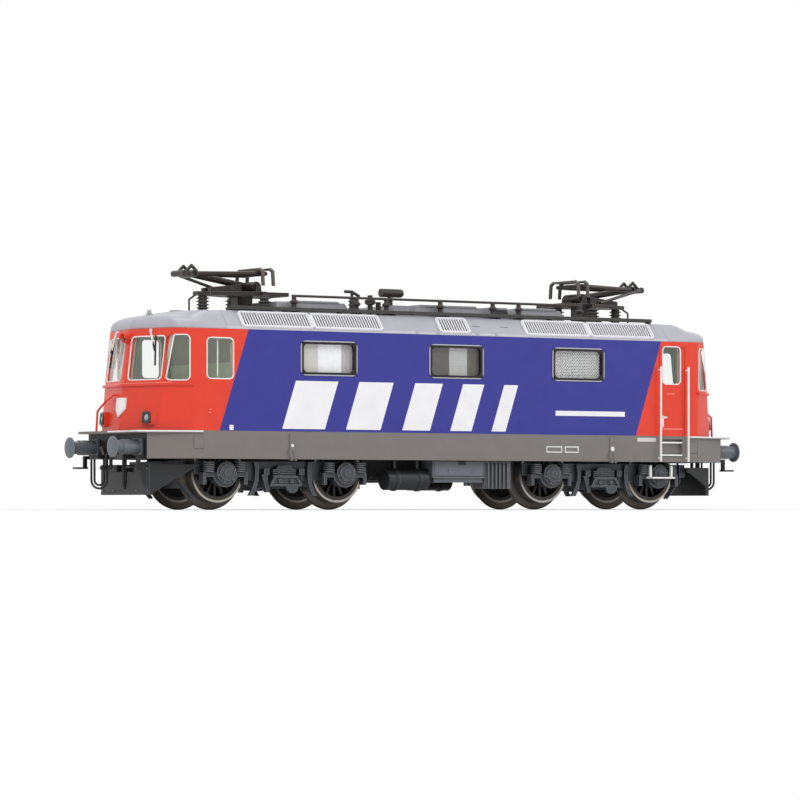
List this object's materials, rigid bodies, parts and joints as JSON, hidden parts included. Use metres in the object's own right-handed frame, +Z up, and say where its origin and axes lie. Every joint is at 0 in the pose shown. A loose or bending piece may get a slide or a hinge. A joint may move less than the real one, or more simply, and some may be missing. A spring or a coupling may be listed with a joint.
{
  "type": "four-axle electric locomotive, N scale model",
  "caption": "Small-scale model of a four-axle electric locomotive with two cabs, swivelling bogies, spoked wheels and two folding current collectors.",
  "frame": {"origin": "on the floor under the middle of the locomotive, at the level of the wheel flanges", "axes": "+X along the locomotive to the end with the near-side door, +Y to the far side, +Z up"},
  "size_m": [0.0964, 0.02, 0.0307],
  "materials": {
    "body_paint": "satin two-colour paint, blue field and red cab ends",
    "frame_silver": "satin",
    "clear_glass": "clear moulded pane",
    "roof_grey": "matt paint",
    "grille_white": "matt paint",
    "walkway_dark": "matt paint",
    "hatch_grey": "matt paint",
    "line_brown": "matt plastic",
    "collector_dark": "blackened metal",
    "strip_grey": "satin",
    "skirt_grey": "satin paint",
    "beam_black": "matt plastic",
    "buffer_steel": "satin",
    "black_plastic": "matt plastic",
    "rail_white": "satin",
    "rail_red": "satin",
    "lamp_housing": "satin",
    "shield_white": "satin",
    "tank_black": "satin",
    "box_grey": "satin",
    "ballast_metal": "cast zinc, unpainted",
    "cab_green": "matt",
    "bogie_grey": "satin",
    "spring_grey": "satin",
    "plough_black": "satin",
    "wheel_steel": "blackened face, bright tread",
    "axle_steel": "bright"
  },
  "bodies": {
    "locomotive": {"air_tanks": "tank_black", "ballast_block": "ballast_metal", "brake_hoses": "black_plastic", "buffer_beams": "beam_black", "buffers": "buffer_steel", "cab_interiors": "cab_green", "cab_roofs": "roof_grey", "collector_bases": "collector_dark", "door_handrails": "rail_white", "draw_hooks": "black_plastic", "entry_steps": "rail_white", "front_handrails": "rail_red", "front_shields": "shield_white", "glazing": "clear_glass", "headlamps": "black_plastic", "housing": "body_paint", "lamp_hoods": "lamp_housing", "line_breaker": "collector_dark", "main_roof": "roof_grey", "roof_aerials": "roof_grey", "roof_grilles": "grille_white", "roof_hatches": "hatch_grey", "roof_line": "line_brown", "roof_walkways": "walkway_dark", "underfloor_boxes": "box_grey", "underframe": "skirt_grey", "window_frames": "frame_silver", "wipers": "black_plastic"},
    "bogie_left": {"bogie_frame_left": "bogie_grey", "axle_boxes_left": "bogie_grey", "bogie_springs_left": "spring_grey", "brake_gear_left": "bogie_grey", "bogie_step_left": "rail_white", "snow_plough_left": "plough_black"},
    "lower_arm_left": {"lower_arm_left": "collector_dark"},
    "upper_arm_left": {"upper_arm_left": "collector_dark"},
    "collector_head_left": {"collector_head_left": "strip_grey"},
    "control_link_left": {"control_link_left": "collector_dark"},
    "bogie_right": {"bogie_frame_right": "bogie_grey", "axle_boxes_right": "bogie_grey", "bogie_springs_right": "spring_grey", "brake_gear_right": "bogie_grey", "bogie_step_right": "rail_white", "snow_plough_right": "plough_black"},
    "lower_arm_right": {"lower_arm_right": "collector_dark"},
    "upper_arm_right": {"upper_arm_right": "collector_dark"},
    "collector_head_right": {"collector_head_right": "strip_grey"},
    "control_link_right": {"control_link_right": "collector_dark"},
    "wheelset_1": {"wheels_1": "wheel_steel", "axle_1": "axle_steel"},
    "wheelset_2": {"wheels_2": "wheel_steel", "axle_2": "axle_steel"},
    "wheelset_3": {"wheels_3": "wheel_steel", "axle_3": "axle_steel"},
    "wheelset_4": {"wheels_4": "wheel_steel", "axle_4": "axle_steel"}
  },
  "joints": [
    {"name": "bogie_swivel_left", "type": "hinge", "parent": "locomotive", "child": "bogie_left", "pos_m": [-0.02469, 0, 0.0086], "axis": [0, 0, 1], "range_deg": [-8, 8]},
    {"name": "bogie_swivel_right", "type": "hinge", "parent": "locomotive", "child": "bogie_right", "pos_m": [0.02469, 0, 0.0086], "axis": [0, 0, 1], "range_deg": [-8, 8]},
    {"name": "wheelset_spin_1", "type": "hinge", "parent": "bogie_left", "child": "wheelset_1", "pos_m": [-0.03344, 0, 0.0046], "axis": [0, 1, 0], "continuous": true},
    {"name": "wheelset_spin_2", "type": "hinge", "parent": "bogie_left", "child": "wheelset_2", "pos_m": [-0.01594, 0, 0.0046], "axis": [0, 1, 0], "continuous": true},
    {"name": "wheelset_spin_3", "type": "hinge", "parent": "bogie_right", "child": "wheelset_3", "pos_m": [0.01594, 0, 0.0046], "axis": [0, 1, 0], "continuous": true},
    {"name": "wheelset_spin_4", "type": "hinge", "parent": "bogie_right", "child": "wheelset_4", "pos_m": [0.03344, 0, 0.0046], "axis": [0, 1, 0], "continuous": true},
    {"name": "collector_raise_left", "type": "hinge", "parent": "locomotive", "child": "lower_arm_left", "pos_m": [-0.0253, 0, 0.0281], "axis": [0, 1, 0], "range_deg": [0, 50]},
    {"name": "knee_left", "type": "hinge", "parent": "lower_arm_left", "child": "upper_arm_left", "pos_m": [-0.034, 0, 0.0295], "axis": [0, 1, 0], "range_deg": [-104.5, 0]},
    {"name": "head_level_left", "type": "hinge", "parent": "upper_arm_left", "child": "collector_head_left", "pos_m": [-0.02445, 0, 0.0297], "axis": [0, 1, 0], "range_deg": [0, 54.5]},
    {"name": "link_swing_left", "type": "hinge", "parent": "locomotive", "child": "control_link_left", "pos_m": [-0.0285, 0, 0.0276], "axis": [0, 1, 0], "range_deg": [0, 57]},
    {"name": "collector_raise_right", "type": "hinge", "parent": "locomotive", "child": "lower_arm_right", "pos_m": [0.0253, 0, 0.0281], "axis": [0, -1, 0], "range_deg": [0, 50]},
    {"name": "knee_right", "type": "hinge", "parent": "lower_arm_right", "child": "upper_arm_right", "pos_m": [0.034, 0, 0.0295], "axis": [0, -1, 0], "range_deg": [-104.5, 0]},
    {"name": "head_level_right", "type": "hinge", "parent": "upper_arm_right", "child": "collector_head_right", "pos_m": [0.02445, 0, 0.0297], "axis": [0, -1, 0], "range_deg": [0, 54.5]},
    {"name": "link_swing_right", "type": "hinge", "parent": "locomotive", "child": "control_link_right", "pos_m": [0.0285, 0, 0.0276], "axis": [0, -1, 0], "range_deg": [0, 57]}
  ],
  "couplings": [
    {"joint": "knee_left", "follows": "collector_raise_left", "ratio": -2.07},
    {"joint": "head_level_left", "follows": "collector_raise_left", "ratio": 1.07},
    {"joint": "link_swing_left", "follows": "collector_raise_left", "ratio": 1.12},
    {"joint": "knee_right", "follows": "collector_raise_right", "ratio": -2.07},
    {"joint": "head_level_right", "follows": "collector_raise_right", "ratio": 1.07},
    {"joint": "link_swing_right", "follows": "collector_raise_right", "ratio": 1.12}
  ]
}
